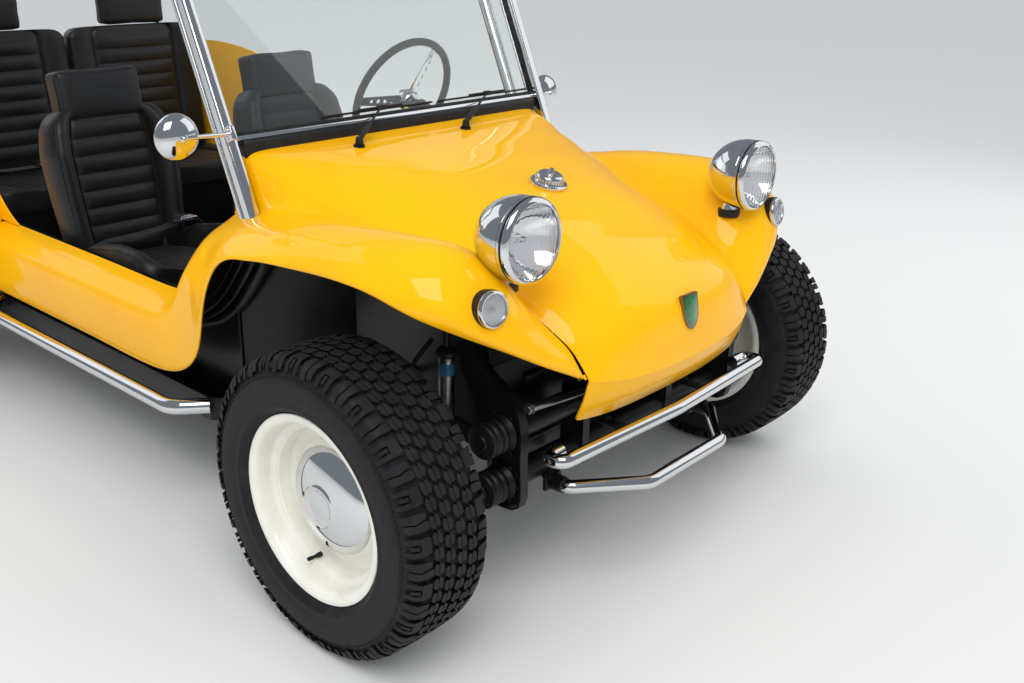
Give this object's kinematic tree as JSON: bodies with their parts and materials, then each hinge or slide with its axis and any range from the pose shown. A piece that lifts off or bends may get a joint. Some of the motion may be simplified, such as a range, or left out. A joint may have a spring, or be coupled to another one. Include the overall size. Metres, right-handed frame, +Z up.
{
  "type": "dune buggy",
  "caption": "Open four-seat dune buggy with moulded body, round lamps, chrome cage and bumpers, and wide wheels.",
  "frame": {"origin": "bottom centre of the bounding box, on the ground", "axes": "+Z up, -Y towards the nose, +X to the car's left"},
  "size_m": [1.703, 3.48, 1.4998],
  "materials": {
    "yellow_gelcoat": "gloss yellow gelcoat on glass fibre",
    "black_pan": "satin black enamel",
    "black_gelcoat": "textured black inner moulding",
    "chrome": "polished chrome",
    "cream_enamel": "cream enamel",
    "tyre": "black rubber",
    "black_vinyl": "black grained vinyl",
    "screen_glass": "clear laminated glass",
    "lamp_glass": "fluted lamp glass",
    "red_lens": "red moulded lens",
    "rubber": "black rubber seal",
    "cast_alloy": "cast alloy",
    "steel": "plain steel",
    "green_enamel": "green enamel",
    "black_rim": "gloss black moulded rim"
  },
  "bodies": {
    "chassis": {"bumper_brackets": "black_pan", "dashboard": "black_gelcoat", "engine": "cast_alloy", "exhaust": "steel", "fan_shroud": "black_pan", "floor_pan": "black_pan", "footwell_tub": "black_gelcoat", "front_beam": "black_pan", "front_fenders": "yellow_gelcoat", "front_seats": "black_vinyl", "front_shocks": "steel", "fuel_cap": "chrome", "fuel_tank": "black_pan", "gear_and_brake_levers": "steel", "headlight_lenses": "lamp_glass", "headlight_shells": "chrome", "hood": "yellow_gelcoat", "lower_bumper": "chrome", "mirrors": "chrome", "nose_badge": "green_enamel", "pedals": "black_pan", "rear_bench": "black_vinyl", "rear_body": "yellow_gelcoat", "rear_bulkhead": "black_gelcoat", "rear_bumper": "chrome", "rear_fenders": "yellow_gelcoat", "rear_suspension": "black_pan", "roll_cage": "chrome", "seat_mounts": "black_pan", "side_rails": "chrome", "steering_column": "black_pan", "tail_lights": "red_lens", "trailing_arms": "black_pan", "transaxle": "cast_alloy", "turn_signals": "chrome", "upper_bumper": "chrome", "windshield_frame": "chrome", "windshield_glass": "screen_glass", "windshield_seals": "rubber", "wipers": "black_pan"},
    "knuckle_left": {"knuckle_left": "black_pan"},
    "knuckle_right": {"knuckle_right": "black_pan"},
    "tie_rods": {"tie_rods": "steel"},
    "steering_wheel": {"steering_wheel": "black_rim"},
    "front_wheel_left": {"front_tyre_left": "tyre", "front_rim_left": "cream_enamel", "front_hub_cap_left": "chrome"},
    "front_wheel_right": {"front_tyre_right": "tyre", "front_rim_right": "cream_enamel", "front_hub_cap_right": "chrome"},
    "rear_wheel_left": {"rear_tyre_left": "tyre", "rear_rim_left": "cream_enamel", "rear_hub_cap_left": "chrome"},
    "rear_wheel_right": {"rear_tyre_right": "tyre", "rear_rim_right": "cream_enamel", "rear_hub_cap_right": "chrome"}
  },
  "joints": [
    {"name": "steer_left", "type": "hinge", "parent": "chassis", "child": "knuckle_left", "pos_m": [0.6, -1.34, 0.334], "axis": [0, 0, 1], "range_deg": [-28, 28]},
    {"name": "steer_right", "type": "hinge", "parent": "chassis", "child": "knuckle_right", "pos_m": [-0.6, -1.34, 0.334], "axis": [0, 0, 1], "range_deg": [-28, 28]},
    {"name": "steering_wheel_turn", "type": "hinge", "parent": "chassis", "child": "steering_wheel", "pos_m": [0.32, -0.428, 0.952], "axis": [0, 0.9272, 0.3746], "range_deg": [-392, 392]},
    {"name": "tie_rod_slide", "type": "slide", "parent": "chassis", "child": "tie_rods", "axis": [1, 0, 0], "range_m": [-0.0616, 0.0616]},
    {"name": "front_wheel_left_spin", "type": "hinge", "parent": "knuckle_left", "child": "front_wheel_left", "pos_m": [0.72, -1.34, 0.334], "axis": [1, 0, 0], "continuous": true},
    {"name": "front_wheel_right_spin", "type": "hinge", "parent": "knuckle_right", "child": "front_wheel_right", "pos_m": [-0.72, -1.34, 0.334], "axis": [1, 0, 0], "continuous": true},
    {"name": "rear_wheel_left_spin", "type": "hinge", "parent": "chassis", "child": "rear_wheel_left", "pos_m": [0.725, 1.06, 0.35], "axis": [1, 0, 0], "continuous": true},
    {"name": "rear_wheel_right_spin", "type": "hinge", "parent": "chassis", "child": "rear_wheel_right", "pos_m": [-0.725, 1.06, 0.35], "axis": [1, 0, 0], "continuous": true}
  ],
  "couplings": [
    {"joint": "steer_right", "follows": "steer_left", "ratio": 1},
    {"joint": "steering_wheel_turn", "follows": "steer_left", "ratio": 14},
    {"joint": "tie_rod_slide", "follows": "steer_left", "m_per_rad": -0.125}
  ]
}
